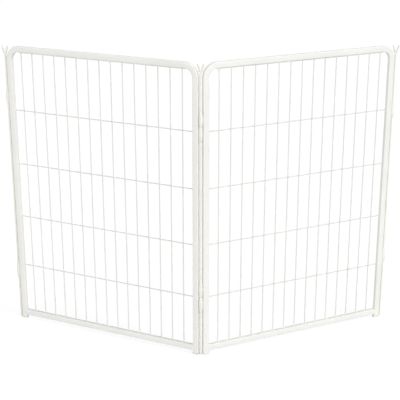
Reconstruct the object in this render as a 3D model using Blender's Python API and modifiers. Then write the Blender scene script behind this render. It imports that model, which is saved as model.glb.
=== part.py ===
"""Dog playpen section: two welded steel panels that stand in a V and turn about a drop rod.

Metres, +Z up. The origin is on the floor, on the axis of the middle rod. The panels run from it to the
left (-X) and to the right (+X) and lean back to +Y, so the V points at a viewer who stands at -Y.
Each panel is drawn in a frame of its own: x runs from its left rod's axis to its right rod's axis,
y is the depth of the panel and z the height.
"""

import math

import bmesh
import bpy
from mathutils import Matrix, Vector

# Panel as a whole
PANEL_HEIGHT = 1.000  # floor to the top of the frame tube
ROD_SPACING = 0.721  # axis to axis of the rods at a panel's two edges
ROD_TO_LEG = 0.0072  # rod axis to the leg's outer face
INCLUDED_ANGLE = math.radians(130.5)  # between the two panels, as they stand

# Flat tube of the frame and the bottom rail
TUBE_WIDTH = 0.020  # in the panel's plane
TUBE_DEPTH = 0.014
TUBE_EDGE_RADIUS = 0.0025
TUBE_WALL = 0.0012
BEND_RADIUS = 0.038  # of the tube's centre line at the two top corners
RAIL_CLEARANCE = 0.013  # floor to the bottom rail

# Mesh of wires and its two end bars
BAR_DIAMETER = 0.0033
TOP_BAR_MARGIN = 0.0258  # leg's inner face to the top bar's end
BAR_WELD_DEPTH = 0.0004  # how far the bottom bar is melted into the rail
WIRE_DIAMETER = 0.0038
UPRIGHT_DEPTH = -0.0006  # axis of the upright wires, from the panel's middle plane
UPRIGHT_COUNT = 15
UPRIGHT_MARGIN = 0.0358  # leg's inner face to the axis of the nearest upright wire
CROSS_WIRE_HEIGHTS = (0.2085, 0.394, 0.587, 0.778)

# Hinge barrels
ROD_DIAMETER = 0.0065
BORE_CLEARANCE = 0.0003  # on the radius
BARREL_RADIUS = 0.0067  # at its widest
BARREL_FACE_RADIUS = 0.0060  # at the flat face that meets the next panel's barrel
BARREL_TIP_RADIUS = 0.0045
BARREL_SWELL = 0.36  # where it is widest, as a fraction of its length from the flat face
UPPER_BARREL_LENGTH = 0.048
LOWER_BARREL_LENGTH = 0.056
UPPER_HINGE_HEIGHT = 0.7975  # where the upper two barrels meet
LOWER_HINGE_HEIGHT = 0.2115
WELD_SEAT_WIDTH = 0.004
WELD_SEAT_LENGTH = 0.028
WELD_SEAT_BEVEL = 0.0009

# Rods
ROD_TIP_LENGTH = 0.010
ROD_TIP_DIAMETER = 0.003
ROD_SHOULDER_RADIUS = 0.0023  # where the rod's rounded top runs into the handle
FORK_HEIGHT = 0.971  # floor to where the two prongs part
PRONG_DIAMETER = 0.0060
PRONG_RISE = 0.0235  # from the fork to the centre of a prong's round end
PRONG_SPREAD = 0.0090  # rod axis to the centre of a prong's round end
PRONG_TURN = 0.0041  # bend radius at the foot of the fork
PRONG_FLARE = 1.6  # how late the prongs lean out, 1 being straight

# Foot plugs
PLUG_HEAD = 0.004
PLUG_FLARE = 0.0004  # head past the tube on every side
PLUG_CHAMFER = 0.0008
PLUG_INSERT = 0.016
PLUG_RIB_COUNT = 3
PLUG_RIB_THICKNESS = 0.0016
PLUG_RIB_DEPTH = 0.0010

FIT_GAP = 0.0003  # between pieces that touch

# Facets
CORNER_STEPS = 3  # in each rounded edge of a tube
BEND_STEPS = 8
BARREL_SIDES = 20
BARREL_STEPS = 5
ROD_SIDES = 16
PRONG_STEPS = 4
PRONG_END_TURNS = (30, 55, 75)  # degrees along a prong's round end
WIRE_ROUNDNESS = 3
SMOOTH_ANGLE = math.radians(35)

LEAN = (math.pi - INCLUDED_ANGLE) / 2
LEG_CENTRE = ROD_TO_LEG + TUBE_WIDTH / 2
LEG_INNER_FACE = ROD_TO_LEG + TUBE_WIDTH
CLEAR_WIDTH = ROD_SPACING - 2 * LEG_INNER_FACE
LEG_END = PLUG_HEAD + FIT_GAP
RAIL_TOP = RAIL_CLEARANCE + TUBE_WIDTH
BOTTOM_BAR_AXIS = RAIL_TOP - BAR_WELD_DEPTH + BAR_DIAMETER / 2
TOP_BAR_AXIS = PANEL_HEIGHT - TUBE_WIDTH - FIT_GAP - BAR_DIAMETER / 2
CROSS_DEPTH = UPRIGHT_DEPTH + WIRE_DIAMETER + FIT_GAP  # cross wires lie behind the upright ones
BORE_RADIUS = ROD_DIAMETER / 2 + BORE_CLEARANCE

COATED = (0.86, 0.86, 0.83, 1.0)
COATED_RAW = (0.80, 0.80, 0.77, 1.0)
PLASTIC = (0.80, 0.80, 0.78, 1.0)


def clear_scene():
    for obj in list(bpy.data.objects):
        bpy.data.objects.remove(obj, do_unlink=True)


def finish_material(name, colour, roughness, metallic=0.0):
    material = bpy.data.materials.new(name)
    material.use_nodes = True
    shader = material.node_tree.nodes["Principled BSDF"]
    shader.inputs["Base Color"].default_value = colour
    shader.inputs["Roughness"].default_value = roughness
    shader.inputs["Metallic"].default_value = metallic
    material.diffuse_color = colour
    return material


def stand_in(name, data):
    """A helper object that lasts until its shape is read."""
    obj = bpy.data.objects.new(name, data)
    bpy.context.scene.collection.objects.link(obj)
    return obj


def settled(obj, name):
    """The object's shape with its modifiers carried out, as a mesh. The helper object goes."""
    bpy.context.view_layer.update()
    graph = bpy.context.evaluated_depsgraph_get()
    mesh = bpy.data.meshes.new_from_object(obj.evaluated_get(graph), depsgraph=graph)
    mesh.transform(obj.matrix_world)
    mesh.name = name
    bpy.data.objects.remove(obj, do_unlink=True)
    welded = bmesh.new()
    welded.from_mesh(mesh)
    bmesh.ops.remove_doubles(welded, verts=welded.verts, dist=1e-6)
    welded.to_mesh(mesh)
    welded.free()
    return mesh


def joined(name, base, *others):
    """One closed mesh from several that overlap."""
    body = stand_in(name, base)
    tools = []
    for mesh in others:
        tool = stand_in(mesh.name + "_tool", mesh)
        tools.append(tool)
        union = body.modifiers.new("union", "BOOLEAN")
        union.operation = "UNION"
        union.solver = "EXACT"
        union.object = tool
    mesh = settled(body, name)
    for tool in tools:
        bpy.data.objects.remove(tool, do_unlink=True)
    return mesh


def rounded_outline(width, depth, radius):
    """Corner points of a rounded rectangle round the origin, anticlockwise."""
    points = []
    for corner, (sx, sy) in enumerate(((1, 1), (-1, 1), (-1, -1), (1, -1))):
        centre = Vector((sx * (width / 2 - radius), sy * (depth / 2 - radius)))
        for step in range(CORNER_STEPS + 1):
            turn = (corner + step / CORNER_STEPS) * math.pi / 2
            points.append(centre + radius * Vector((math.cos(turn), math.sin(turn))))
    return points


def poly_curve(name, points, closed=False, flat=False, tilt=0.0):
    curve = bpy.data.curves.new(name, "CURVE")
    curve.dimensions = "2D" if flat else "3D"
    curve.fill_mode = "NONE" if flat else "FULL"
    spline = curve.splines.new("POLY")
    spline.points.add(len(points) - 1)
    for point, place in zip(spline.points, points):
        point.co = (*Vector(place).to_3d(), 1.0)
        point.tilt = tilt
    spline.use_cyclic_u = closed
    return curve


def flat_tube(name, path, tilt=0.0):
    """A hollow tube of the panel's section along a path in the x-z plane, open at both ends."""
    outline = list(reversed(rounded_outline(TUBE_WIDTH, TUBE_DEPTH, TUBE_EDGE_RADIUS)))
    section = stand_in(name + "_section", poly_curve(name + "_section", outline, closed=True, flat=True))
    curve = poly_curve(name + "_path", path, tilt=tilt)
    curve.bevel_mode = "OBJECT"
    curve.bevel_object = section
    skin = settled(stand_in(name + "_skin", curve), name + "_skin")
    bpy.data.objects.remove(section, do_unlink=True)
    shell = stand_in(name, skin)
    wall = shell.modifiers.new("wall", "SOLIDIFY")
    wall.thickness = TUBE_WALL
    wall.offset = -1.0
    wall.use_even_offset = True
    return settled(shell, name)


def round_bar(name, start, end, diameter, roundness=WIRE_ROUNDNESS):
    curve = poly_curve(name, (start, end))
    curve.bevel_depth = diameter / 2
    curve.bevel_resolution = roundness
    curve.use_fill_caps = True
    return settled(stand_in(name, curve), name)


def turned(name, profile, sides, closed=False):
    """A profile of (radius, height) points, drawn down its outer side, turned about the z axis."""
    mesh = bpy.data.meshes.new(name)
    rows = [(radius, 0.0, height) for radius, height in profile]
    edges = [(i, i + 1) for i in range(len(rows) - 1)]
    if closed:
        edges.append((len(rows) - 1, 0))
    mesh.from_pydata(rows, edges, [])
    body = stand_in(name, mesh)
    screw = body.modifiers.new("turn", "SCREW")
    screw.axis = "Z"
    screw.steps = sides
    screw.render_steps = sides
    screw.use_merge_vertices = True
    screw.merge_threshold = 1e-5
    return settled(body, name)


def lofted(name, rings):
    """Closed shape through rounded rectangles, each (height, width, depth, edge radius), from the foot up."""
    shape = bmesh.new()
    rows = []
    for height, width, depth, radius in rings:
        outline = rounded_outline(width, depth, radius)
        rows.append([shape.verts.new((*point, height)) for point in outline])
    for lower, upper in zip(rows, rows[1:]):
        for i, vertex in enumerate(lower):
            shape.faces.new((lower[i - 1], vertex, upper[i], upper[i - 1]))
    shape.faces.new(list(reversed(rows[0])))
    shape.faces.new(rows[-1])
    mesh = bpy.data.meshes.new(name)
    shape.to_mesh(mesh)
    shape.free()
    return mesh


def frame_tube_mesh():
    """Both legs and the top rail, one tube bent at the two top corners."""
    left, right = LEG_CENTRE, ROD_SPACING - LEG_CENTRE
    bend_height = PANEL_HEIGHT - TUBE_WIDTH / 2 - BEND_RADIUS
    path = [(left, 0, LEG_END)]
    for centre, start in ((left + BEND_RADIUS, math.pi), (right - BEND_RADIUS, math.pi / 2)):
        for step in range(BEND_STEPS + 1):
            turn = start - step / BEND_STEPS * math.pi / 2
            path.append((centre + BEND_RADIUS * math.cos(turn), 0, bend_height + BEND_RADIUS * math.sin(turn)))
    path.append((right, 0, LEG_END))
    return flat_tube("frame_tube", path)


def bottom_rail_mesh():
    """The rail between the legs with the mesh's lower bar welded along its top."""
    start = LEG_INNER_FACE + FIT_GAP
    end = ROD_SPACING - start
    middle = RAIL_CLEARANCE + TUBE_WIDTH / 2
    tube = flat_tube("rail_tube", [(start, 0, middle), (end, 0, middle)], tilt=math.pi / 2)
    bar = round_bar("rail_bar", (start, 0, BOTTOM_BAR_AXIS), (end, 0, BOTTOM_BAR_AXIS), BAR_DIAMETER)
    return joined("bottom_rail", tube, bar)


def barrel_mesh(name, length):
    """Bullet-shaped sleeve with its flat face at z = 0, its long taper upwards and its weld seat towards +x."""
    widest = BARREL_SWELL * length
    profile = []
    for step in range(BARREL_STEPS + 1):
        part = step / BARREL_STEPS
        swell = (1 - math.cos(part * math.pi)) / 2
        radius = BARREL_TIP_RADIUS + (BARREL_RADIUS - BARREL_TIP_RADIUS) * swell
        profile.append((radius, length + (widest - length) * part))
    for step in range(1, BARREL_STEPS + 1):
        part = step / BARREL_STEPS
        radius = BARREL_FACE_RADIUS + (BARREL_RADIUS - BARREL_FACE_RADIUS) * math.cos(part * math.pi / 2)
        profile.append((radius, widest * (1 - math.sin(part * math.pi / 2))))
    profile += [(BORE_RADIUS, 0.0), (BORE_RADIUS, length)]
    sleeve = turned(name + "_sleeve", profile, BARREL_SIDES, closed=True)
    seat_end = ROD_TO_LEG - FIT_GAP
    seat_start = (BORE_RADIUS + BARREL_FACE_RADIUS) / 2
    seat = bmesh.new()
    place = Matrix.Translation(((seat_start + seat_end) / 2, 0, widest))
    size = Matrix.Diagonal((seat_end - seat_start, WELD_SEAT_WIDTH, WELD_SEAT_LENGTH, 1))
    bmesh.ops.create_cube(seat, size=1, matrix=place @ size)
    upright = [edge for edge in seat.edges if abs(edge.verts[0].co.x - edge.verts[1].co.x) < 1e-6]
    ends = [edge for edge in upright if abs(edge.verts[0].co.z - edge.verts[1].co.z) < 1e-6]
    outer = [edge for edge in ends if edge.verts[0].co.x > seat_start + 1e-6]
    bmesh.ops.bevel(seat, geom=outer, offset=WELD_SEAT_BEVEL, segments=1, affect="EDGES")
    block = bpy.data.meshes.new(name + "_seat")
    seat.to_mesh(block)
    seat.free()
    return joined(name, sleeve, block)


def prong_path():
    """Centre points and thickness factors of the handle's bent bar, from its left end to its right end."""
    foot = FORK_HEIGHT - PRONG_DIAMETER / 2
    end_height = FORK_HEIGHT + PRONG_RISE
    straight = end_height - foot - PRONG_TURN
    half = []
    for step in range(PRONG_STEPS + 1):
        turn = step / PRONG_STEPS * math.pi / 2
        half.append((PRONG_TURN * math.sin(turn), foot + PRONG_TURN * (1 - math.cos(turn)), 1.0))
    for step in range(1, PRONG_STEPS + 1):
        part = step / PRONG_STEPS
        flare = (PRONG_SPREAD - PRONG_TURN) * part**PRONG_FLARE
        half.append((PRONG_TURN + flare, foot + PRONG_TURN + straight * part, 1.0))
    across, up = half[-1][0] - half[-2][0], half[-1][1] - half[-2][1]
    length = math.hypot(across, up)
    for turn in PRONG_END_TURNS:
        reach = PRONG_DIAMETER / 2 * math.sin(math.radians(turn)) / length
        last = half[2 * PRONG_STEPS]
        half.append((last[0] + across * reach, last[1] + up * reach, math.cos(math.radians(turn))))
    return [(-x, z, size) for x, z, size in reversed(half[1:])] + half


def rod_mesh():
    """Rod with a tapered tip and a handle of two prongs, its axis on z."""
    tip, shaft, neck = ROD_TIP_DIAMETER / 2, ROD_DIAMETER / 2, PRONG_DIAMETER / 2
    top, shoulder = FORK_HEIGHT - ROD_SHOULDER_RADIUS, ROD_SHOULDER_RADIUS
    profile = [(0, top), (shoulder, top), (shaft, top - shaft), (shaft, ROD_TIP_LENGTH), (tip, 0), (0, 0)]
    body = turned("rod_shaft", profile, ROD_SIDES)
    bends = prong_path()
    curve = poly_curve("prongs", [(x, 0, z) for x, z, size in bends])
    for point, (x, z, size) in zip(curve.splines[0].points, bends):
        point.radius = size
    curve.bevel_depth = neck
    curve.bevel_resolution = WIRE_ROUNDNESS
    curve.use_fill_caps = True
    return joined("rod", body, settled(stand_in("prongs", curve), "prongs"))


def foot_plug_mesh():
    """Plug under a leg: a chamfered head and a ribbed insert that grips the inside of the tube."""
    head_width, head_depth = TUBE_WIDTH + 2 * PLUG_FLARE, TUBE_DEPTH + 2 * PLUG_FLARE
    head_radius = TUBE_EDGE_RADIUS + PLUG_FLARE
    shrink = 2 * (TUBE_WALL + FIT_GAP)
    rib_width, rib_depth = TUBE_WIDTH - shrink, TUBE_DEPTH - shrink
    rib_radius = TUBE_EDGE_RADIUS - shrink / 2
    core_width, core_depth = rib_width - 2 * PLUG_RIB_DEPTH, rib_depth - 2 * PLUG_RIB_DEPTH
    core_radius = rib_radius / 2
    cut = 2 * PLUG_CHAMFER
    rings = [
        (0, head_width - cut, head_depth - cut, head_radius - PLUG_CHAMFER),
        (PLUG_CHAMFER, head_width, head_depth, head_radius),
        (PLUG_HEAD, head_width, head_depth, head_radius),
        (PLUG_HEAD, core_width, core_depth, core_radius),
    ]
    pitch = PLUG_INSERT / PLUG_RIB_COUNT
    for rib in range(PLUG_RIB_COUNT):
        foot = PLUG_HEAD + (rib + 1) * pitch - PLUG_RIB_THICKNESS
        rings.append((foot - PLUG_RIB_DEPTH, core_width, core_depth, core_radius))
        rings.append((foot, rib_width, rib_depth, rib_radius))
        rings.append((foot + PLUG_RIB_THICKNESS - PLUG_RIB_DEPTH, rib_width, rib_depth, rib_radius))
        rings.append((foot + PLUG_RIB_THICKNESS, core_width, core_depth, core_radius))
    return lofted("foot_plug", rings)


def carrier(name, matrix):
    """An empty that carries the pieces of one panel and sits on the axis that the panel turns about."""
    empty = bpy.data.objects.new(name, None)
    empty.matrix_world = matrix
    part_collection.objects.link(empty)
    return empty


def piece(name, mesh, material, parent=None, matrix=None):
    obj = bpy.data.objects.new(name, mesh)
    if not mesh.materials:
        mesh.materials.append(material)
    mesh.shade_smooth()
    mesh.set_sharp_from_angle(angle=SMOOTH_ANGLE)
    part_collection.objects.link(obj)
    obj.parent = parent
    if matrix is not None:
        obj.matrix_local = matrix
    return obj


def barrel_places():
    """Name, mesh key and place of a panel's four barrels: outer ones at its left edge, inner ones at its right."""
    half = FIT_GAP / 2
    flip = Matrix.Rotation(math.pi, 4, "X")
    about = Matrix.Rotation(math.pi, 4, "Z")
    right = ROD_SPACING
    return (
        ("left_upper_barrel", "upper", Matrix.Translation((0, 0, UPPER_HINGE_HEIGHT + half))),
        ("left_lower_barrel", "lower", Matrix.Translation((0, 0, LOWER_HINGE_HEIGHT - half)) @ flip),
        ("right_upper_barrel", "upper", Matrix.Translation((right, 0, UPPER_HINGE_HEIGHT - half)) @ about @ flip),
        ("right_lower_barrel", "lower", Matrix.Translation((right, 0, LOWER_HINGE_HEIGHT + half)) @ about),
    )


def build_panel(side, empty):
    """All the pieces of one panel, each named with its side."""
    piece(f"{side}_frame_tube", shapes["frame"], finishes["frame"], empty)
    piece(f"{side}_bottom_rail", shapes["rail"], finishes["rail"], empty)
    piece(f"{side}_top_mesh_bar", shapes["bar"], finishes["bar"], empty)
    pitch = (CLEAR_WIDTH - 2 * UPRIGHT_MARGIN) / (UPRIGHT_COUNT - 1)
    for i in range(UPRIGHT_COUNT):
        place = Matrix.Translation((LEG_INNER_FACE + UPRIGHT_MARGIN + i * pitch, UPRIGHT_DEPTH, 0))
        piece(f"{side}_upright_wire_{i + 1:02d}", shapes["upright"], finishes["upright"], empty, place)
    for i, height in enumerate(CROSS_WIRE_HEIGHTS):
        place = Matrix.Translation((0, CROSS_DEPTH, height))
        piece(f"{side}_cross_wire_{i + 1}", shapes["cross"], finishes["cross"], empty, place)
    for name, key, place in barrel_places():
        piece(f"{side}_panel_{name}", shapes[key], finishes["barrel"], empty, place)
    for name, across in (("left", LEG_CENTRE), ("right", ROD_SPACING - LEG_CENTRE)):
        place = Matrix.Translation((across, 0, 0))
        piece(f"{side}_panel_{name}_foot_plug", shapes["plug"], finishes["plug"], empty, place)


clear_scene()
part_collection = bpy.data.collections.new("dog_playpen_section")
bpy.context.scene.collection.children.link(part_collection)

finishes = {
    "frame": finish_material("frame_coating", COATED, 0.45),
    "rail": finish_material("rail_coating", COATED, 0.45),
    "bar": finish_material("bar_coating", COATED_RAW, 0.50),
    "upright": finish_material("upright_wire_coating", COATED_RAW, 0.50),
    "cross": finish_material("cross_wire_coating", COATED_RAW, 0.50),
    "barrel": finish_material("barrel_coating", COATED, 0.45),
    "rod": finish_material("rod_coating", COATED, 0.40),
    "plug": finish_material("plug_plastic", PLASTIC, 0.60),
}

bar_start = LEG_INNER_FACE + TOP_BAR_MARGIN
bar_end = ROD_SPACING - bar_start
upright_foot = BOTTOM_BAR_AXIS + BAR_DIAMETER / 2 + FIT_GAP
upright_head = TOP_BAR_AXIS - BAR_DIAMETER / 2 - FIT_GAP
cross_start = LEG_INNER_FACE + FIT_GAP
shapes = {
    "frame": frame_tube_mesh(),
    "rail": bottom_rail_mesh(),
    "bar": round_bar("top_mesh_bar", (bar_start, 0, TOP_BAR_AXIS), (bar_end, 0, TOP_BAR_AXIS), BAR_DIAMETER),
    "upright": round_bar("upright_wire", (0, 0, upright_foot), (0, 0, upright_head), WIRE_DIAMETER),
    "cross": round_bar("cross_wire", (cross_start, 0, 0), (ROD_SPACING - cross_start, 0, 0), WIRE_DIAMETER),
    "upper": barrel_mesh("upper_barrel", UPPER_BARREL_LENGTH),
    "lower": barrel_mesh("lower_barrel", LOWER_BARREL_LENGTH),
    "rod": rod_mesh(),
    "plug": foot_plug_mesh(),
}

left_end = Vector((-ROD_SPACING * math.cos(LEAN), ROD_SPACING * math.sin(LEAN), 0))
left_frame = Matrix.Translation(left_end) @ Matrix.Rotation(-LEAN, 4, "Z")
right_frame = Matrix.Rotation(LEAN, 4, "Z")
left_panel = carrier("left_panel", left_frame)
right_panel = carrier("right_panel", right_frame)
build_panel("left", left_panel)
build_panel("right", right_panel)

# The handles of all three rods face the viewer.
right_edge = Matrix.Translation((ROD_SPACING, 0, 0))
piece("left_rod", shapes["rod"], finishes["rod"], left_panel, Matrix.Rotation(LEAN, 4, "Z"))
piece("middle_rod", shapes["rod"], finishes["rod"])
piece("right_rod", shapes["rod"], finishes["rod"], right_panel, right_edge @ Matrix.Rotation(-LEAN, 4, "Z"))
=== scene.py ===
import math

import bpy
import numpy as np
from mathutils import Matrix, Vector


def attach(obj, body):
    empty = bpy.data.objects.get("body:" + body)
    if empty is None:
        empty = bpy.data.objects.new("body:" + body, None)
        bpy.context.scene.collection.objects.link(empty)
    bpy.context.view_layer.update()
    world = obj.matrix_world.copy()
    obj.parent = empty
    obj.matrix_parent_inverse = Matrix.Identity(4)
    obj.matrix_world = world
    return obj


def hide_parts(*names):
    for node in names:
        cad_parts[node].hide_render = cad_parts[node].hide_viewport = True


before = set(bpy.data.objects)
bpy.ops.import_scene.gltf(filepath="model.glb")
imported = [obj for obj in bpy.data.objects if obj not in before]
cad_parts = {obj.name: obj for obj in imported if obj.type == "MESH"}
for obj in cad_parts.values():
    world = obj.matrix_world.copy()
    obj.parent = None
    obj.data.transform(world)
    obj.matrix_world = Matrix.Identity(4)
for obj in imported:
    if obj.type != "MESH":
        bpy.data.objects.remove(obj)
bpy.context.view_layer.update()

# Sizes of the playpen section in metres, as its solids have them. A panel's own x runs from the
# axis of its left rod to that of its right rod, y is its depth and z the height over the floor.
PANEL_HEIGHT = 1.000
ROD_SPACING = 0.721
ROD_TO_LEG = 0.0072  # rod axis to the leg's outer face
INCLUDED_ANGLE = 130.5  # degrees between the two panels, as they stand
LEAN = math.radians((180 - INCLUDED_ANGLE) / 2)
TUBE_WIDTH = 0.020  # in the panel's plane
TUBE_DEPTH = 0.014
TUBE_EDGE = 0.0025
TUBE_WALL = 0.0012
BEND_RADIUS = 0.038  # of the tube's centre line at the two top corners
RAIL_FOOT = 0.013  # floor to the bottom rail
RAIL_AXIS = RAIL_FOOT + TUBE_WIDTH / 2
LEG_END = 0.0043  # floor to the tube's open ends
LEG_CENTRE = ROD_TO_LEG + TUBE_WIDTH / 2
LEG_INNER = ROD_TO_LEG + TUBE_WIDTH  # the left leg's inner face
FAR_INNER = ROD_SPACING - LEG_INNER  # the right leg's inner face
FIT_GAP = 0.0003  # between pieces that touch
BAR_RADIUS = 0.00165
BAR_WELD_DEPTH = 0.0004  # how far the bottom bar is melted into the rail
TOP_BAR = PANEL_HEIGHT - TUBE_WIDTH - FIT_GAP - BAR_RADIUS
TOP_BAR_MARGIN = 0.0258  # leg's inner face to the top bar's end
BOTTOM_BAR = RAIL_FOOT + TUBE_WIDTH - BAR_WELD_DEPTH + BAR_RADIUS
WIRE_RADIUS = 0.0019
UPRIGHT_DEPTH = -0.0006  # axis of the upright wires, from the panel's middle plane
CROSS_DEPTH = UPRIGHT_DEPTH + 2 * WIRE_RADIUS + FIT_GAP
UPRIGHT_MARGIN = 0.0358  # leg's inner face to the axis of the nearest upright wire
UPRIGHT_PITCH = 0.0425
UPRIGHT_COUNT = 15
UPRIGHTS = LEG_INNER + UPRIGHT_MARGIN + UPRIGHT_PITCH * np.arange(UPRIGHT_COUNT)
CROSS_HEIGHTS = np.array([0.2085, 0.394, 0.587, 0.778])
ROD_RADIUS = 0.00325
BORE_RADIUS = 0.00355
PRONG_RADIUS = 0.0030
PRONG_SPREAD = 0.0090  # rod axis to the centre of a prong's round end
PRONG_FLARE = 1.6  # how late the prongs lean out, 1 being straight
FORK_HEIGHT = 0.971
PRONG_RISE = 0.0235  # from the fork to the centre of a prong's round end
FORK_TURN = 0.0041  # bend radius at the foot of the fork
HINGES = {"upper": (0.7975, 0.048), "lower": (0.2115, 0.056)}  # meeting height, sleeve length
SIDES = {"left": -1, "right": 1}

# Sizes that only the dressed pieces have
FORK_TOP = FORK_HEIGHT + PRONG_RISE
FORK_FOOT = 0.9755  # the fork's crotch as the photo has it, above the solids' FORK_HEIGHT
ROD_SHOULDER = 0.0023  # fork's crotch down to the rod's rounded top
SLEEVE_RADIUS = 0.0067
SLEEVE_FACE = 0.0046
SLEEVE_TIP = 0.0045
SLEEVE_SWELL = 0.47  # where it is widest, as a fraction of its length from the flat face
SLEEVE_POWER = 2.4
END_GAP = 0.0002  # from a leg to the end of a bar or wire that its weld covers
WIRE_SINK = 0.0002  # how far an upright wire's ends reach into the bars
STRAIGHT_STOP = 0.1  # from the middle of a long straight tube to its nearest rings
SAME_POINT = 2e-7  # points on one another at this grid are one point
SHARP_ANGLE = 40  # degrees, over which an edge stays crisp
SLEEVE_SHARP_ANGLE = 50

# Light and colours
WORLD_LIGHT = 0.51
LAMP_WIDTH = 25.0  # degrees
LAMPS = (  # name, bearing from the front towards the right, height, share of full white
    ("front_left", -30.0, 12.0, 0.325),
    ("front_right", 30.0, 12.0, 0.170),
    ("high_right", 60.0, 35.0, 0.305),
    ("back_right", 120.0, 12.0, 0.275),
)
LAMP_DISTANCE = 4
FLOOR_GREY = 0.60
FLOOR_GLOW = 1.54
FLOOR_WHITE = 0.5  # how much of the glow a camera ray sees in place of the grey
FLOOR_REACH = 30.0
TUBE_WHITE = (0.875, 0.870, 0.835, 1)
# Painted shade: the wires' coat is set darker than the tubes' same coat to stand in for the shade
# on the thin round wires.
WIRE_WHITE_WITH_PAINTED_SHADE = (0.778, 0.775, 0.746, 1)
# Painted shade: the lower bar's coat is darker than the tubes' to stand in for the shadow in the
# crevice where it lies on the rail.
BAR_WHITE_WITH_PAINTED_SHADE = (0.680, 0.675, 0.650, 1)
ROD_WHITE = (0.900, 0.902, 0.828, 1)
SLEEVE_WHITE = (0.880, 0.880, 0.815, 1)
PLUG_WHITE = (0.78, 0.78, 0.76, 1)
PURE_WHITE = (1, 1, 1, 1)

# The photograph's camera
PHOTO_WIDTH = 400
FOCAL_PIXELS = 1031.54
EYE = (-0.00651, -3.12446, 1.65280)
TILT, TURN, ROLL = 0.337896, 0.001230, -0.000479
SENSOR_WIDTH = 36.0
VIEW_END = 100


# Surfaces worked out as arrays

def outward(points, faces):
    """Turns every face round if the closed surface's signed volume, the sum of a . (b x c) over
    its triangles, comes out negative."""
    tris = np.concatenate([faces[:, [0, 1, 2]], faces[:, [0, 2, 3]]])
    a, b, c = points[tris[:, 0]], points[tris[:, 1]], points[tris[:, 2]]
    return faces if np.einsum("ij,ij->i", a, np.cross(b, c)).sum() > 0 else faces[:, ::-1]


def grid_faces(rows, columns, wrap_rows):
    """Quads between neighbours of a rows x columns grid of points. Each row is a closed ring, and
    the last row is joined to the first where asked."""
    i, j = np.arange(rows if wrap_rows else rows - 1), np.arange(columns)
    i, j = np.meshgrid(i, j, indexing="ij")
    down, right = (i + 1) % rows, (j + 1) % columns
    corners = [i * columns + j, i * columns + right, down * columns + right, down * columns + j]
    return np.stack(corners, -1).reshape(-1, 4)


def closed_sweep(rings):
    """A stack of like rings (rows x points x 3), each end drawn together to its middle point, so
    the skin closes."""
    first, last = rings[:1].mean(1, keepdims=True), rings[-1:].mean(1, keepdims=True)
    ends = [np.broadcast_to(p, rings[:1].shape) for p in (first, last)]
    grid = np.concatenate([ends[0], rings, ends[1]])
    return grid.reshape(-1, 3), grid_faces(len(grid), grid.shape[1], wrap_rows=False)


def hollow_sweep(rings):
    """A stack of like rings that runs out along the outside and back along the inside and meets
    itself."""
    points = rings.reshape(-1, 3)
    return points, grid_faces(len(rings), rings.shape[1], wrap_rows=True)


def merged(parts):
    """Several (points, faces) as one."""
    points, faces, count = [], [], 0
    for some, quads in parts:
        points.append(some)
        faces.append(outward(some, quads) + count)
        count += len(some)
    return np.concatenate(points), np.concatenate(faces)


def piece(name, parts, body, material, replaces=(), sharp=SHARP_ANGLE):
    """A named mesh that rides on a body, with edges over the sharp angle kept crisp.
    Points that lie on one another are made one, and faces with under three corners dropped."""
    points, faces = merged(parts)
    mesh = bpy.data.meshes.new(name)
    keys = np.round(points / SAME_POINT).astype(np.int64)
    _, first, index = np.unique(keys, axis=0, return_index=True, return_inverse=True)
    index = index.reshape(-1)
    loops, starts, count = [], [], 0
    for quad in index[faces].tolist():
        corners = [v for k, v in enumerate(quad) if v != quad[k - 1]]
        if len(corners) > 2:
            starts.append(count)
            loops.extend(corners)
            count += len(corners)
    mesh.vertices.add(len(first))
    mesh.vertices.foreach_set("co", points[first].astype(np.float32).ravel())
    mesh.loops.add(len(loops))
    mesh.loops.foreach_set("vertex_index", loops)
    mesh.polygons.add(len(starts))
    mesh.polygons.foreach_set("loop_start", starts)
    mesh.update(calc_edges=True)
    mesh.validate()
    mesh.materials.append(material)
    mesh.shade_smooth()
    mesh.set_sharp_from_angle(angle=math.radians(sharp))
    obj = bpy.data.objects.new(name, mesh)
    bpy.context.scene.collection.objects.link(obj)
    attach(obj, body)
    if replaces:
        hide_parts(*replaces)


def placed(side, part):
    """A panel's own (points, faces) in the shared frame: turned about z by the lean, and for the
    left panel moved so that its right rod stands on the origin."""
    points, faces = part
    turn = SIDES[side] * LEAN
    x, y, z = np.moveaxis(points, -1, 0)
    if side == "left":
        x = x - ROD_SPACING
    across = x * math.cos(turn) - y * math.sin(turn)
    return np.stack([across, x * math.sin(turn) + y * math.cos(turn), z], -1), faces


def carried(part, matrix):
    """A (points, faces) pair moved by a 4 x 4 matrix."""
    points, faces = part
    m = np.array(matrix)
    return points @ m[:3, :3].T + m[:3, 3], faces


# Shapes

def round_angles(sides):
    """Equal steps once round a circle."""
    return np.arange(sides) * 2 * math.pi / sides


def circles(first, second, sides):
    """Unit circles round a path, spanned by two directions at each of its points."""
    turn = round_angles(sides)
    return np.cos(turn)[:, None] * first + np.sin(turn)[:, None] * second


def tube_section(width, depth, edge, steps=6):
    """Rounded rectangle: quarter circles of the edge radius at the four corners, joined by
    straight sides."""
    turn = (np.arange(4)[:, None] + np.linspace(0, 1, steps + 1)) * math.pi / 2
    signs = np.array([(1, 1), (-1, 1), (-1, -1), (1, -1)])[:, None]
    middle = signs * (width / 2 - edge, depth / 2 - edge)
    return (middle + edge * np.stack([np.cos(turn), np.sin(turn)], -1)).reshape(-1, 2)


def tube_skin(path, across, section):
    """Rings of a section carried along a path in the x-z plane: point = path + width x across +
    depth x (0, 1, 0)."""
    wide = section[None, :, :1] * across[:, None]
    deep = section[None, :, 1:] * np.array([0, 1.0, 0])
    return path[:, None] + wide + deep


def upright_plane(flat):
    """Points (x, z) as (x, 0, z)."""
    return np.stack([flat[:, 0], np.zeros(len(flat)), flat[:, 1]], -1)


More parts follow.
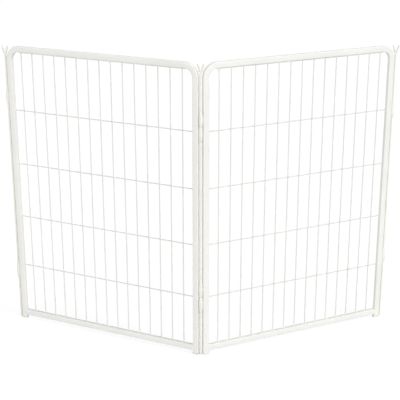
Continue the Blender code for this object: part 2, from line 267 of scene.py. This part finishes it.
def frame_path(steps=26):
    """Centre line of the bent tube and its outward direction: up the left leg, round a quarter
    circle, along the top, round a second quarter circle and down the right leg."""
    leg_stops, top_stops, mid_leg, near_bend = 3, 4, 0.5, 0.002
    turn = np.linspace(0, math.pi / 2, steps)
    bend = PANEL_HEIGHT - TUBE_WIDTH / 2 - BEND_RADIUS
    out = np.concatenate([
        [(-1, 0)] * leg_stops, np.stack([-np.cos(turn), np.sin(turn)], -1), [(0, 1)] * top_stops,
        np.stack([np.sin(turn), np.cos(turn)], -1), [(1, 0)] * leg_stops,
    ])
    left, right = LEG_CENTRE + BEND_RADIUS, ROD_SPACING - LEG_CENTRE - BEND_RADIUS
    centre = np.zeros_like(out)
    half = len(out) // 2
    centre[:half] = (left, bend)
    centre[half:] = (right, bend)
    line = centre + BEND_RADIUS * out
    for k, height in enumerate((LEG_END, mid_leg, bend - near_bend)):
        line[k, 1] = line[-1 - k, 1] = height
    for k, x in enumerate((left + near_bend, ROD_SPACING / 2 - STRAIGHT_STOP), leg_stops + steps):
        line[k, 0] = x
        line[-1 - k, 0] = ROD_SPACING - x
    return upright_plane(line), upright_plane(out)


def hollow_tube(path, across, lip=0.0003):
    """Tube of the flat section with its wall: an outer skin, an inner skin and a rim with broken
    edges at each end."""
    outer = tube_section(TUBE_WIDTH, TUBE_DEPTH, TUBE_EDGE)
    worn = tube_section(TUBE_WIDTH - 2 * lip, TUBE_DEPTH - 2 * lip, TUBE_EDGE - lip)
    inner_width, inner_depth = TUBE_WIDTH - 2 * TUBE_WALL, TUBE_DEPTH - 2 * TUBE_WALL
    inner = tube_section(inner_width, inner_depth, TUBE_EDGE - TUBE_WALL)
    along = np.gradient(path, axis=0)
    along /= np.linalg.norm(along, axis=1, keepdims=True)
    ends = path[[0, -1]] + lip * along[[0, -1]] * np.array([[1], [-1]])
    line = np.concatenate([ends[:1], path[1:-1], ends[1:]])
    outside = tube_skin(line, across, outer)
    caps = tube_skin(path[[0, -1]], across[[0, -1]], worn)
    inside = tube_skin(path, across, inner)[::-1]
    return hollow_sweep(np.concatenate([caps[:1], outside, caps[1:], inside]))


def round_rod(start, end, radius, sides=16, lip=0.0004):
    """Straight round bar, level or upright in the panel's plane: circles of one radius across its
    axis, a little smaller at its two ends."""
    start, end = np.asarray(start, float), np.asarray(end, float)
    axis = (end - start) / np.linalg.norm(end - start)
    side = np.cross(axis, (0, 1, 0))
    ring = circles(side, np.cross(axis, side), sides)
    lip = min(lip, radius / 2)
    stops = [(start, radius - lip), (start + lip * axis, radius),
             (end - lip * axis, radius), (end, radius - lip)]
    return closed_sweep(np.stack([place + size * ring for place, size in stops]))


def turned_rings(profile, sides):
    """A profile of (radius, height) pairs turned about z."""
    profile = np.asarray(profile, float)
    turn = round_angles(sides)
    ring = np.stack([np.cos(turn), np.sin(turn), np.zeros(sides)], -1)
    return profile[:, None, :1] * ring + profile[:, None, 1:] * np.array([0, 0, 1.0])


def bead(line, radius, ripple=0.16, pitch=0.0016, sides=8, taper=0.0018):
    """A run of weld: circles along a line, about four to each pitch, their radius swelling and
    falling once in each pitch, as the puddle froze, and going down as a square root to almost
    nothing at both ends over the taper."""
    fewest, each_pitch, slant, thinnest = 12, 4, (0.31, 0.87, 0.39), 0.02
    line = np.asarray(line, float)
    run = np.concatenate([[0], np.cumsum(np.linalg.norm(np.diff(line, axis=0), axis=1))])
    count = max(fewest, int(run[-1] / pitch * each_pitch))
    along = np.linspace(0, run[-1], count)
    path = np.stack([np.interp(along, run, line[:, k]) for k in range(3)], -1)
    way = np.gradient(path, axis=0)
    way /= np.linalg.norm(way, axis=1, keepdims=True)
    first = np.cross(way, slant)
    first /= np.linalg.norm(first, axis=1, keepdims=True)
    ring = circles(first[:, None], np.cross(way, first)[:, None], sides)
    fade = np.clip(np.minimum(along, run[-1] - along) / taper, thinnest, 1) ** 0.5
    size = radius * fade * (1 + ripple * np.sin(along * 2 * math.pi / pitch))
    return closed_sweep(path[:, None] + size[:, None, None] * ring)


def nugget(centre, radii, rows=5, sides=8):
    """Small lens of fused metal: an ellipsoid, its rings spaced evenly in angle from pole to pole
    along y."""
    fall = np.linspace(0, math.pi, rows + 2)[1:-1]
    turn = round_angles(sides)
    ring = np.stack([np.cos(turn), np.zeros(sides), np.sin(turn)], -1)
    poles = np.cos(fall)[:, None, None] * np.array([0, 1.0, 0])
    rings = np.sin(fall)[:, None, None] * ring + poles
    return closed_sweep(np.asarray(centre, float) + rings * np.asarray(radii, float))


def barrel(length, steps=27, sides=36, lip=0.00025):
    """Olive-shaped sleeve: the radius falls from its widest place to either end as a power of the
    way there, every edge is broken by the lip, and the bore runs back down its inside."""
    widest = SLEEVE_SWELL * length
    height = np.linspace(0, length, steps)[1:-1]
    below = height < widest
    away = np.where(below, 1 - height / widest, (height - widest) / (length - widest))
    drop = SLEEVE_RADIUS - np.where(below, SLEEVE_FACE, SLEEVE_TIP)
    olive = np.stack([SLEEVE_RADIUS - drop * away**SLEEVE_POWER, height], -1)
    face = [(SLEEVE_FACE - lip, 0), (SLEEVE_FACE, lip)]
    tip = [(SLEEVE_TIP, length - lip), (SLEEVE_TIP - lip, length)]
    bore = [(BORE_RADIUS + lip, length), (BORE_RADIUS, length - lip),
            (BORE_RADIUS, lip), (BORE_RADIUS + lip, 0)]
    return hollow_sweep(turned_rings(np.concatenate([face, olive, tip, bore]), sides))


# Materials

def new_group(name, inputs, outputs):
    """An empty shader group with its sockets. Gives the tree, the sockets inside it that its
    inputs come from and its outputs go to, and the piece's own coordinates."""
    tree = bpy.data.node_groups.new(name, "ShaderNodeTree")
    for key, kind, value in inputs:
        socket = tree.interface.new_socket(name=key, in_out="INPUT", socket_type=kind)
        socket.default_value = value
    for key, kind in outputs:
        tree.interface.new_socket(name=key, in_out="OUTPUT", socket_type=kind)
    entry, leave = tree.nodes.new("NodeGroupInput"), tree.nodes.new("NodeGroupOutput")
    place = tree.nodes.new("ShaderNodeTexCoord").outputs["Object"]
    return tree, entry.outputs, leave.inputs, place


def noise(tree, place, scale, detail, roughness=0.5):
    node = tree.nodes.new("ShaderNodeTexNoise")
    node.inputs["Scale"].default_value = scale
    node.inputs["Detail"].default_value = detail
    node.inputs["Roughness"].default_value = roughness
    tree.links.new(place, node.inputs["Vector"])
    return node.outputs["Fac"]


def ranged(tree, value, low, high):
    """A noise value, which seldom leaves 0.3 to 0.7, spread over low to high."""
    node = tree.nodes.new("ShaderNodeMapRange")
    limits = {"From Min": 0.3, "From Max": 0.7, "To Min": low, "To Max": high}
    for key, limit in limits.items():
        node.inputs[key].default_value = limit
    tree.links.new(value, node.inputs["Value"])
    return node.outputs["Result"]


def product(tree, first, second):
    node = tree.nodes.new("ShaderNodeMath")
    node.operation = "MULTIPLY"
    tree.links.new(first, node.inputs[0])
    tree.links.new(second, node.inputs[1])
    return node.outputs[0]


def shaded(tree, colour, factor):
    """A colour times a factor."""
    node = tree.nodes.new("ShaderNodeVectorMath")
    node.operation = "SCALE"
    tree.links.new(colour, node.inputs[0])
    tree.links.new(factor, node.inputs["Scale"])
    return node.outputs["Vector"]


def bumped(tree, height, strength, distance):
    """The normal of a surface raised by a height."""
    node = tree.nodes.new("ShaderNodeBump")
    node.inputs["Distance"].default_value = distance
    tree.links.new(strength, node.inputs["Strength"])
    tree.links.new(height, node.inputs["Height"])
    return node.outputs["Normal"]


COLOUR, NUMBER, NORMAL = "NodeSocketColor", "NodeSocketFloat", "NodeSocketVector"
SURFACE_OUTPUTS = (("Colour", COLOUR), ("Roughness", NUMBER), ("Normal", NORMAL))
PLAIN_COAT = (0.86, 0.86, 0.83, 1)
PLAIN_PLASTIC = (0.8, 0.8, 0.78, 1)


def build_coat_group():
    """Baked powder coat: a shallow orange peel, a finer grain of single powder grains, and a slow
    drift of shade where the coat lies thicker."""
    inputs = (("Colour", COLOUR, PLAIN_COAT), ("Gloss", NUMBER, 0.42), ("Peel", NUMBER, 0.25))
    tree, given, result, place = new_group("powder_coat", inputs, SURFACE_OUTPUTS)
    drift = ranged(tree, noise(tree, place, scale=9.0, detail=3.0), low=0.975, high=1.02)
    grain = ranged(tree, noise(tree, place, scale=2600.0, detail=1.0), low=0.985, high=1.0)
    colour = shaded(tree, given["Colour"], product(tree, drift, grain))
    tree.links.new(colour, result["Colour"])
    matt = ranged(tree, noise(tree, place, scale=60.0, detail=3.0), low=0.9, high=1.12)
    tree.links.new(product(tree, given["Gloss"], matt), result["Roughness"])
    peel = noise(tree, place, scale=620.0, detail=2.0, roughness=0.35)
    tree.links.new(bumped(tree, peel, given["Peel"], distance=0.00025), result["Normal"])
    return tree


def build_moulded_group():
    """Spark-eroded mould grain: a fine even stipple in the surface with a faint drift of shade."""
    inputs = (("Colour", COLOUR, PLAIN_PLASTIC), ("Depth", NUMBER, 0.3))
    tree, given, result, place = new_group("moulded_grain", inputs, SURFACE_OUTPUTS)
    drift = ranged(tree, noise(tree, place, scale=140.0, detail=3.0), low=0.95, high=1.03)
    tree.links.new(shaded(tree, given["Colour"], drift), result["Colour"])
    stipple = noise(tree, place, scale=1900.0, detail=1.0)
    tree.links.new(ranged(tree, stipple, low=0.52, high=0.68), result["Roughness"])
    tree.links.new(bumped(tree, stipple, given["Depth"], distance=0.0002), result["Normal"])
    return tree


def build_rod_top_shade_group():
    """Painted shade: the coat's colour is darkened from one height up to another, blotched by a
    slow noise, standing in for the shade on the top of the rod and its fork."""
    inputs = (("Colour", COLOUR, PLAIN_COAT), ("Unshaded Below", NUMBER, 0.94),
              ("Fully Shaded Above", NUMBER, 0.985), ("Shade", NUMBER, 0.88))
    outputs = (("Colour", COLOUR),)
    tree, given, result, place = new_group("painted_rod_top_shade", inputs, outputs)
    split = tree.nodes.new("ShaderNodeSeparateXYZ")
    tree.links.new(place, split.inputs[0])
    level = tree.nodes.new("ShaderNodeMapRange")
    level.interpolation_type = "SMOOTHSTEP"
    level.inputs["To Min"].default_value = 1.0
    tree.links.new(split.outputs["Z"], level.inputs["Value"])
    tree.links.new(given["Unshaded Below"], level.inputs["From Min"])
    tree.links.new(given["Fully Shaded Above"], level.inputs["From Max"])
    tree.links.new(given["Shade"], level.inputs["To Max"])
    # painted shade: the darkening above the given height is broken up by a slow noise
    blotch = ranged(tree, noise(tree, place, scale=45.0, detail=3.0), low=0.99, high=1.01)
    painted_shade = product(tree, level.outputs["Result"], blotch)
    tree.links.new(shaded(tree, given["Colour"], painted_shade), result["Colour"])
    return tree


def with_painted_top_shade(material, group):
    """Puts the painted shade of the rod's top between the coat's colour and the shader."""
    tree = material.node_tree
    socket = tree.nodes["Principled BSDF"].inputs["Base Color"]
    node = tree.nodes.new("ShaderNodeGroup")
    node.node_tree = group
    tree.links.new(socket.links[0].from_socket, node.inputs["Colour"])
    tree.links.new(node.outputs["Colour"], socket)
    return material


def finish(name, group, **values):
    """A material whose colour, roughness and surface come from a group, with its own values."""
    material = bpy.data.materials.new(name)
    material.use_nodes = True
    tree = material.node_tree
    shader = tree.nodes["Principled BSDF"]
    node = tree.nodes.new("ShaderNodeGroup")
    node.node_tree = group
    for key, value in values.items():
        node.inputs[key].default_value = value
    for key, socket in (("Colour", "Base Color"), ("Roughness", "Roughness"), ("Normal", "Normal")):
        tree.links.new(node.outputs[key], shader.inputs[socket])
    return material


coat, moulded = build_coat_group(), build_moulded_group()
finishes = {
    "frame": finish("tube_powder_coat", coat, Colour=TUBE_WHITE, Gloss=0.42, Peel=0.25),
    # painted shade: the wires take a darker copy of the tube coat
    "wire": finish("wire_coat_with_painted_shade", coat, Colour=WIRE_WHITE_WITH_PAINTED_SHADE, Gloss=0.48, Peel=0.35),
    # painted shade: the lower bar's darker coat stands in for the crevice's shadow
    "bar": finish("bar_coat_with_painted_shade", coat, Colour=BAR_WHITE_WITH_PAINTED_SHADE, Gloss=0.50, Peel=0.35),
    "barrel": finish("barrel_powder_coat", coat, Colour=SLEEVE_WHITE, Gloss=0.38, Peel=0.20),
    # the rod's coat has painted shade that darkens the top of the rod and its fork
    "rod": with_painted_top_shade(finish("rod_coat_with_painted_top_shade", coat, Colour=ROD_WHITE, Gloss=0.36, Peel=0.20),
                   build_rod_top_shade_group()),
    "weld": finish("coated_weld", coat, Colour=TUBE_WHITE, Gloss=0.46, Peel=0.55),
    "plug": finish("plug_plastic", moulded, Colour=PLUG_WHITE, Depth=0.3),
}


# Pieces of one panel

def plug_rings():
    """Foot plug from the floor up: rounded rectangles that widen over a rounded edge to the head,
    then step in to a core with lamella ribs. Each stop is a height and how far its outline lies
    inside the head's."""
    flare, round_edge, lip, least_edge = 0.0004, 0.0008, 0.0003, 0.0003
    head, insert, ribs = 0.0040, 0.0160, 3
    core, rib_root, rib_crest = 0.0030, 0.0029, 0.0019
    rib_slope, rib_flat, rib_length = 0.0010, 0.0006, 0.0016
    turn = np.linspace(0, math.pi / 2, 6)
    stops = list(zip(round_edge * (1 - np.cos(turn)), round_edge * (1 - np.sin(turn))))
    stops += [(head - lip, 0.0), (head, lip), (head, core)]
    for rib in range(ribs):
        foot = head + (rib + 1) * insert / ribs - rib_length
        stops += [(foot - rib_slope, rib_root), (foot, rib_crest),
                  (foot + rib_flat, rib_crest), (foot + rib_length, rib_root)]
    wide, deep, edge = TUBE_WIDTH + 2 * flare, TUBE_DEPTH + 2 * flare, TUBE_EDGE + flare
    stack = []
    for height, cut in stops:
        outline = tube_section(wide - 2 * cut, deep - 2 * cut, max(edge - cut, least_edge))
        stack.append(np.column_stack([outline, np.full(len(outline), height)]))
    return np.stack(stack)


def barrel_places():
    """Each barrel's name, hinge and the way it is turned: flat faces meet, tapers point away from
    each other."""
    flip, about = Matrix.Rotation(math.pi, 4, "X"), Matrix.Rotation(math.pi, 4, "Z")
    upper, lower, half = HINGES["upper"][0], HINGES["lower"][0], FIT_GAP / 2
    move = Matrix.Translation
    return (
        ("left_upper", "upper", move((0, 0, upper + half))),
        ("left_lower", "lower", move((0, 0, lower - half)) @ flip),
        ("right_upper", "upper", move((ROD_SPACING, 0, upper - half)) @ about @ flip),
        ("right_lower", "lower", move((ROD_SPACING, 0, lower + half)) @ about),
    )


def barrel_welds(length):
    """What holds a sleeve to the leg beside it: two runs of weld, one at the front and one at the
    back, and the fused metal between them."""
    reach, stops, pad_sides = 0.012, 20, 12
    run_x, run_y, run_radius = 0.0069, 0.0016, 0.0009
    pad_x, pad_radius = 0.0068, 0.0010
    low, high = SLEEVE_SWELL * length - reach, SLEEVE_SWELL * length + reach
    height = np.linspace(low, high, stops)
    runs = []
    for face in (-1, 1):
        line = np.column_stack([np.full((stops, 2), (run_x, face * run_y)), height])
        runs.append(bead(line, run_radius))
    return runs + [round_rod((pad_x, 0, low), (pad_x, 0, high), pad_radius, pad_sides)]


def rail_welds():
    """Weld round both ends of the bottom rail, where it butts against the legs, with a fuller run
    up the front and the back, where the rounded corners of the legs leave a groove."""
    loop_radius, groove_radius, groove_ripple, pitch = 0.0008, 0.0011, 0.10, 0.0014
    swell, out_of_plane, corner_steps = 0.0002, 0.0001, 8
    groove_inset, groove_depth, groove_margin, groove_stops = 0.0006, 0.0010, 0.0015, 16
    loop = tube_section(TUBE_WIDTH + swell, TUBE_DEPTH + out_of_plane, TUBE_EDGE, corner_steps)
    loop = np.concatenate([loop, loop[:1]])
    low, high = RAIL_FOOT + groove_margin, RAIL_FOOT + TUBE_WIDTH - groove_margin
    height = np.linspace(low, high, groove_stops)
    runs = []
    for leg, inward in ((LEG_INNER, 1), (FAR_INNER, -1)):
        x = np.full(len(loop), leg + FIT_GAP * inward)
        line = np.stack([x, loop[:, 1], RAIL_AXIS + loop[:, 0]], -1)
        runs.append(bead(line, loop_radius, pitch=pitch))
        for face in (-1, 1):
            corner = (leg - groove_inset * inward, face * (TUBE_DEPTH / 2 - groove_depth))
            groove = np.column_stack([np.full((groove_stops, 2), corner), height])
            runs.append(bead(groove, groove_radius, ripple=groove_ripple, pitch=pitch))
    return runs


def mesh_welds():
    """Fused spots of the mesh: one at each crossing, one at each wire's end, and short runs that
    hold the upper bar to the top rail."""
    at_crossing, at_bar = (0.0025, 0.0014, 0.0025), (0.0026, 0.0022, 0.0010)
    at_leg = (0.0011, 0.0024, 0.0027)
    run_margin, run_count, run_half = 0.09, 7, 0.006
    run_y, run_drop, run_radius = 0.0017, 0.0002, 0.0008
    spots, crossing = [], (UPRIGHT_DEPTH + CROSS_DEPTH) / 2
    for x in UPRIGHTS:
        for height in CROSS_HEIGHTS:
            spots.append(nugget((x, crossing, height), at_crossing))
        for height in (BOTTOM_BAR + BAR_RADIUS, TOP_BAR - BAR_RADIUS):
            spots.append(nugget((x, UPRIGHT_DEPTH, height), at_bar))
    for height in CROSS_HEIGHTS:
        for x in (LEG_INNER + FIT_GAP, FAR_INNER - FIT_GAP):
            spots.append(nugget((x, CROSS_DEPTH, height), at_leg))
    height = PANEL_HEIGHT - TUBE_WIDTH - run_drop
    for x in np.linspace(run_margin, ROD_SPACING - run_margin, run_count):
        for y in (-run_y, run_y):
            spots.append(bead([(x - run_half, y, height), (x + run_half, y, height)], run_radius))
    return spots


def build_panel(side):
    """Every piece of one panel, in the panel's own place."""
    body = side + "_panel"

    def add(name, parts, finish_name, slot, *nodes, sharp=SHARP_ANGLE):
        parts = [placed(side, p) for p in parts]
        piece(f"{side}_{name}", parts, body, finishes[finish_name], nodes, sharp)

    def level_rod(start, end, depth, height, radius, sides):
        return round_rod((start, depth, height), (end, depth, height), radius, sides)

    add("frame", [hollow_tube(*frame_path())], "frame", "frame_coating", f"{side}_frame_tube")
    rail_stops = (LEG_INNER + FIT_GAP, ROD_SPACING / 2 - STRAIGHT_STOP,
                  ROD_SPACING / 2 + STRAIGHT_STOP, FAR_INNER - FIT_GAP)
    rail = hollow_tube(np.array([(x, 0, RAIL_AXIS) for x in rail_stops]),
                       np.tile([(0, 0, 1.0)], (len(rail_stops), 1)))
    add("rail", [rail], "frame", "rail_coating", f"{side}_bottom_rail")

    bar_sides, wire_sides = 20, 16
    start, end = LEG_INNER + END_GAP, FAR_INNER - END_GAP
    lower_bar = level_rod(start, end, 0, BOTTOM_BAR, BAR_RADIUS, bar_sides)
    # The lower bar takes the coat with painted shade in place of the crevice's shadow.
    add("lower_bar", [lower_bar], "bar", "rail_coating")
    margin = LEG_INNER + TOP_BAR_MARGIN
    upper_bar = level_rod(margin, ROD_SPACING - margin, 0, TOP_BAR, BAR_RADIUS, bar_sides)
    add("upper_bar", [upper_bar], "frame", "bar_coating", f"{side}_top_mesh_bar")
    foot, head = BOTTOM_BAR + BAR_RADIUS - WIRE_SINK, TOP_BAR - BAR_RADIUS + WIRE_SINK
    for i, x in enumerate(UPRIGHTS, 1):
        low, high = (x, UPRIGHT_DEPTH, foot), (x, UPRIGHT_DEPTH, head)
        wire, node = round_rod(low, high, WIRE_RADIUS, wire_sides), f"{side}_upright_wire_{i:02d}"
        add(f"upright_{i:02d}", [wire], "wire", "upright_wire_coating", node)
    for i, height in enumerate(CROSS_HEIGHTS, 1):
        wire = level_rod(start, end, CROSS_DEPTH, height, WIRE_RADIUS, wire_sides)
        add(f"crosswire_{i}", [wire], "wire", "cross_wire_coating", f"{side}_cross_wire_{i}")

    for name, hinge, matrix in barrel_places():
        length = HINGES[hinge][1]
        sleeve, node = carried(barrel(length), matrix), f"{side}_panel_{name}_barrel"
        add(f"sleeve_{name}", [sleeve], "barrel", "barrel_coating", node, sharp=SLEEVE_SHARP_ANGLE)
        welds = [carried(run, matrix) for run in barrel_welds(length)]
        add(f"sleeve_{name}_weld", welds, "weld", "barrel_coating")
    add("rail_welds", rail_welds(), "weld", "rail_coating")
    add("mesh_welds", mesh_welds(), "weld", "upright_wire_coating")
    rings = plug_rings()
    for name, x in (("left", LEG_CENTRE), ("right", ROD_SPACING - LEG_CENTRE)):
        plug, node = closed_sweep(rings + np.array([x, 0, 0])), f"{side}_panel_{name}_foot_plug"
        add(f"foot_{name}", [plug], "plug", "plug_plastic", node)


# Rods

def fork_line(count=40):
    """Centre line of the forked handle: a quarter circle from the middle of its foot, then a rise
    whose lean outward grows as a power of the height, and the same mirrored."""
    foot = FORK_FOOT - PRONG_RADIUS
    turn = np.linspace(0, math.pi / 2, count // 2)
    arc = np.stack([FORK_TURN * np.sin(turn), foot + FORK_TURN * (1 - np.cos(turn))], -1)
    rise = np.linspace(0, 1, count)[1:]
    lean = FORK_TURN + (PRONG_SPREAD - FORK_TURN) * rise**PRONG_FLARE
    height = foot + FORK_TURN + (FORK_TOP - foot - FORK_TURN) * rise
    half = np.concatenate([arc, np.stack([lean, height], -1)])
    return upright_plane(np.concatenate([half[:0:-1] * (-1, 1), half]))


def round_ended(line, radius, sides=20, steps=9):
    """Bar of one radius along a line in the x-z plane, with half-sphere ends."""
    way = np.gradient(line, axis=0)
    way /= np.linalg.norm(way, axis=1, keepdims=True)
    fade = np.linspace(0, math.pi / 2, steps)[1:]
    start = line[0] - way[0] * radius * np.sin(fade[::-1])[:, None]
    end = line[-1] + way[-1] * radius * np.sin(fade)[:, None]
    path = np.concatenate([start, line, end])
    size = radius * np.concatenate([np.cos(fade[::-1]), np.ones(len(line)), np.cos(fade)])
    caps = (len(fade), 1)
    ways = np.concatenate([np.tile(way[:1], caps), way, np.tile(way[-1:], caps)])
    side = np.array([0, 1.0, 0])
    ring = circles(side, np.cross(ways, side)[:, None], sides)
    return closed_sweep(path[:, None] + size[:, None, None] * ring)


def rod_parts():
    """Shaft with a rounded cone for its tip and a shoulder under the fork, and the fork itself."""
    neck, seam, seam_rise, mid_shaft, sides = 0.0019, 0.0008, 0.0002, 0.5, 28
    cone = [(0.0032, 0.0100), (0.0031, 0.0092), (0.0017, 0.0008), (0.0013, 0.0)]
    cone_top = 0.0110
    top = FORK_FOOT - ROD_SHOULDER
    turn = np.linspace(0, math.pi / 2, 7)
    radius = neck + (ROD_RADIUS - neck) * np.sin(turn)
    shoulder = np.stack([radius, top - ROD_RADIUS * (1 - np.cos(turn))], -1)
    shaft = [(ROD_RADIUS, mid_shaft), (ROD_RADIUS, cone_top)]
    profile = np.concatenate([[(seam, top + seam_rise)], shoulder, shaft, cone])
    return [closed_sweep(turned_rings(profile, sides)), round_ended(fork_line(), PRONG_RADIUS)]


def build_rods():
    """The three rods, at the middle joint and at the two ends."""
    across, back = ROD_SPACING * math.cos(LEAN), ROD_SPACING * math.sin(LEAN)
    for name, x, y in (("left", -across, back), ("middle", 0, 0), ("right", across, back)):
        parts = [(points + np.array((x, y, 0)), faces) for points, faces in rod_parts()]
        rod = f"{name}_rod"
        piece(f"{name}_drop_rod", parts, rod, finishes["rod"], [rod])


# Floor, light and camera

def mixed(tree, share, first, second, end):
    """The share's mix of two shaders, as the tree's surface."""
    mix = tree.nodes.new("ShaderNodeMixShader")
    tree.links.new(share, mix.inputs["Fac"])
    tree.links.new(first.outputs[0], mix.inputs[1])
    tree.links.new(second.outputs[0], mix.inputs[2])
    tree.links.new(mix.outputs[0], tree.nodes[end].inputs["Surface"])


def white_source(tree, kind, strength):
    node = tree.nodes.new(kind)
    node.inputs["Color"].default_value = PURE_WHITE
    node.inputs["Strength"].default_value = strength
    return node


def build_world():
    """Even light for surfaces, and plain white where a camera ray, a mirror ray or a clear ray
    meets it."""
    world = bpy.context.scene.world or bpy.data.worlds.new("studio")
    bpy.context.scene.world = world
    world.use_nodes = True
    tree = world.node_tree
    light = tree.nodes["Background"]
    light.inputs["Color"].default_value = PURE_WHITE
    light.inputs["Strength"].default_value = WORLD_LIGHT
    path = tree.nodes.new("ShaderNodeLightPath")
    seen = path.outputs["Is Camera Ray"]
    for name in ("Is Glossy Ray", "Is Transmission Ray"):
        either = tree.nodes.new("ShaderNodeMath")
        either.operation = "MAXIMUM"
        tree.links.new(seen, either.inputs[0])
        tree.links.new(path.outputs[name], either.inputs[1])
        seen = either.outputs[0]
    white = white_source(tree, "ShaderNodeBackground", 1.0)
    mixed(tree, seen, light, white, "World Output")


def build_floor():
    """A grey ground that takes the shadows, half of it plain glow where a camera ray meets it."""
    material = bpy.data.materials.new("studio_floor")
    material.use_nodes = True
    tree = material.node_tree
    shader = tree.nodes["Principled BSDF"]
    shader.inputs["Base Color"].default_value = (FLOOR_GREY, FLOOR_GREY, FLOOR_GREY, 1)
    shader.inputs["Roughness"].default_value = 1.0
    shader.inputs["Specular IOR Level"].default_value = 0.0
    white = white_source(tree, "ShaderNodeEmission", FLOOR_GLOW)
    seen = tree.nodes.new("ShaderNodeMath")
    seen.operation = "MULTIPLY"
    seen.inputs[1].default_value = FLOOR_WHITE
    path = tree.nodes.new("ShaderNodeLightPath")
    tree.links.new(path.outputs["Is Camera Ray"], seen.inputs[0])
    mixed(tree, seen.outputs[0], shader, white, "Material Output")
    mesh = bpy.data.meshes.new("floor")
    near, far = -FLOOR_REACH, FLOOR_REACH
    corners = [(near, near, 0), (far, near, 0), (far, far, 0), (near, far, 0)]
    mesh.from_pydata(corners, [], [(0, 1, 2, 3)])
    mesh.materials.append(material)
    floor = bpy.data.objects.new("floor", mesh)
    bpy.context.scene.collection.objects.link(floor)


def soft_sun(name, bearing, height, share):
    """A wide far lamp: its bearing from the front towards the right and its height in degrees, and
    the share of full white that it gives a surface square to it. Its width softens the shadows."""
    lamp = bpy.data.lights.new(name, "SUN")
    lamp.energy = math.pi * share
    lamp.angle = math.radians(LAMP_WIDTH)
    turn, rise = math.radians(bearing), math.radians(height)
    level = math.cos(rise)
    way = Vector((math.sin(turn) * level, -math.cos(turn) * level, math.sin(rise)))
    obj = bpy.data.objects.new(name, lamp)
    obj.rotation_euler = (-way).to_track_quat("-Z", "Y").to_euler()
    obj.location = LAMP_DISTANCE * way
    bpy.context.scene.collection.objects.link(obj)


def build_camera():
    """The photograph's view: focal length in pixels of a frame as wide as the photo, eye point,
    and its tilt, turn and roll."""
    data = bpy.data.cameras.new("photo_camera")
    data.sensor_width = SENSOR_WIDTH
    data.lens = SENSOR_WIDTH * FOCAL_PIXELS / PHOTO_WIDTH
    data.clip_end = VIEW_END
    level = math.cos(TILT)
    forward = Vector((math.sin(TURN) * level, math.cos(TURN) * level, -math.sin(TILT)))
    right = Vector((math.cos(TURN), -math.sin(TURN), 0))
    up = right.cross(forward)
    rolled_right = math.cos(ROLL) * right + math.sin(ROLL) * up
    rolled_up = -math.sin(ROLL) * right + math.cos(ROLL) * up
    axes = Matrix((rolled_right, rolled_up, -forward)).transposed()
    camera = bpy.data.objects.new("photo_camera", data)
    camera.matrix_world = Matrix.Translation(Vector(EYE)) @ axes.to_4x4()
    bpy.context.scene.collection.objects.link(camera)
    bpy.context.scene.camera = camera


for side in SIDES:
    build_panel(side)
build_rods()
build_world()
build_floor()
for lamp in LAMPS:
    soft_sun(*lamp)
build_camera()
bpy.context.scene.view_settings.view_transform = "Standard"
